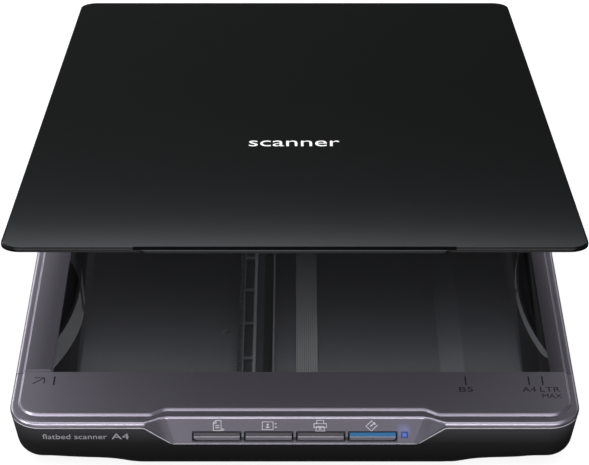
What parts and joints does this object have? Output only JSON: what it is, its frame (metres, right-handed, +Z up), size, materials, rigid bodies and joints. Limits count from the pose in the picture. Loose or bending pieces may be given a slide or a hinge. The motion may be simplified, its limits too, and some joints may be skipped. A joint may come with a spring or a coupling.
{
  "type": "flatbed scanner",
  "caption": "Slim A4 flatbed document scanner with a raised hinged lid, glass platen, moving sensor bar, front push buttons and a status light.",
  "frame": {"origin": "centre of the footprint, on the surface that the scanner stands on", "axes": "+Z up, +Y from the front buttons to the hinge at the rear, +X to the right as seen from the front; the lid is stored raised by 12.6 degrees"},
  "size_m": [0.249, 0.364, 0.1158],
  "materials": {
    "housing_black": "fine matt texture",
    "frame_grey": "satin metallic dark grey",
    "lid_black": "semi-gloss black",
    "lid_inside": "matt black",
    "glass": "polished",
    "white_plastic": "matt white",
    "mat_foam": "soft foam",
    "rubber": "matt",
    "key_grey": "satin metallic grey",
    "key_blue": "satin metallic blue",
    "lens_blue": "clear tinted, lit",
    "circuit_board": "green solder mask",
    "chip_black": "moulded",
    "steel": "plated",
    "inner_black": "matt black",
    "rail_grey": "moulded dark grey",
    "gear_white": "acetal",
    "ribbon_grey": "flat flexible cable",
    "tape_black": "adhesive tape",
    "clear_acrylic": "clear light guide",
    "aluminium_can": "drawn can"
  },
  "bodies": {
    "base": {"board_screws": "steel", "button_board": "circuit_board", "calibration_strip": "white_plastic", "capacitors": "aluminium_can", "carriage_ribbon": "ribbon_grey", "controller_chip": "chip_black", "drive_rack": "rail_grey", "front_deck": "frame_grey", "glass_tape": "tape_black", "guide_rail": "rail_grey", "hinge_sockets": "inner_black", "housing_screws": "steel", "lower_housing": "housing_black", "main_board": "circuit_board", "memory_chip": "chip_black", "panel_connector": "white_plastic", "platen_glass": "glass", "ribbon_connector": "white_plastic", "rubber_feet": "rubber", "status_led": "white_plastic", "status_lens": "lens_blue", "tact_switches": "chip_black", "top_frame": "frame_grey", "usb_shell": "steel", "usb_tongue": "chip_black"},
    "lid": {"lid_cover": "lid_black", "lid_inner_panel": "lid_inside", "mat_foam": "mat_foam", "mat_sheet": "white_plastic", "lid_bumpers": "rubber", "lid_screws": "steel", "hinge_pins": "steel"},
    "hinge_posts": {"left_hinge_post": "inner_black", "right_hinge_post": "inner_black"},
    "page_key": {"page_button": "key_grey"},
    "send_key": {"send_button": "key_grey"},
    "copy_key": {"copy_button": "key_grey"},
    "start_key": {"start_button": "key_blue"},
    "carriage": {"carriage_tray": "inner_black", "sensor_springs": "steel", "sensor_housing": "inner_black", "lens_array": "clear_acrylic", "light_guide": "clear_acrylic", "lamp_led": "white_plastic", "sensor_board": "circuit_board", "sensor_chips": "chip_black", "glide_pads": "gear_white", "drive_motor": "steel", "gear_axle": "steel"},
    "reduction": {"reduction_gear": "gear_white"},
    "motor_rotor": {"motor_pinion": "gear_white"}
  },
  "joints": [
    {"name": "lid_lift", "type": "slide", "parent": "base", "child": "hinge_posts", "axis": [0, 0, 1], "range_m": [0, 0.012]},
    {"name": "lid_hinge", "type": "hinge", "parent": "hinge_posts", "child": "lid", "pos_m": [0, 0.1715, 0.0345], "axis": [-1, 0, 0], "range_deg": [-12.6, 77.4]},
    {"name": "carriage_slide", "type": "slide", "parent": "base", "child": "carriage", "axis": [0, 1, 0], "range_m": [0, 0.312], "deforming": ["carriage_ribbon"]},
    {"name": "reduction_spin", "type": "hinge", "parent": "carriage", "child": "reduction", "pos_m": [-0.03163, -0.156, 0.0075], "axis": [0, 0, -1], "range_deg": [0, 3180]},
    {"name": "motor_spin", "type": "hinge", "parent": "carriage", "child": "motor_rotor", "pos_m": [-0.03662, -0.144, 0.0102], "axis": [0, 0, 1], "range_deg": [0, 10597.4]},
    {"name": "page_press", "type": "slide", "parent": "base", "child": "page_key", "axis": [0, 0.9499, -0.3127], "range_m": [0, 0.0005], "stiffness_N_per_m": 2000},
    {"name": "send_press", "type": "slide", "parent": "base", "child": "send_key", "axis": [0, 0.9499, -0.3127], "range_m": [0, 0.0005], "stiffness_N_per_m": 2000},
    {"name": "copy_press", "type": "slide", "parent": "base", "child": "copy_key", "axis": [0, 0.9499, -0.3127], "range_m": [0, 0.0005], "stiffness_N_per_m": 2000},
    {"name": "start_press", "type": "slide", "parent": "base", "child": "start_key", "axis": [0, 0.9499, -0.3127], "range_m": [0, 0.0005], "stiffness_N_per_m": 2000}
  ],
  "couplings": [
    {"joint": "reduction_spin", "follows": "carriage_slide", "rad_per_m": 177.78},
    {"joint": "motor_spin", "follows": "carriage_slide", "rad_per_m": 592.59}
  ]
}
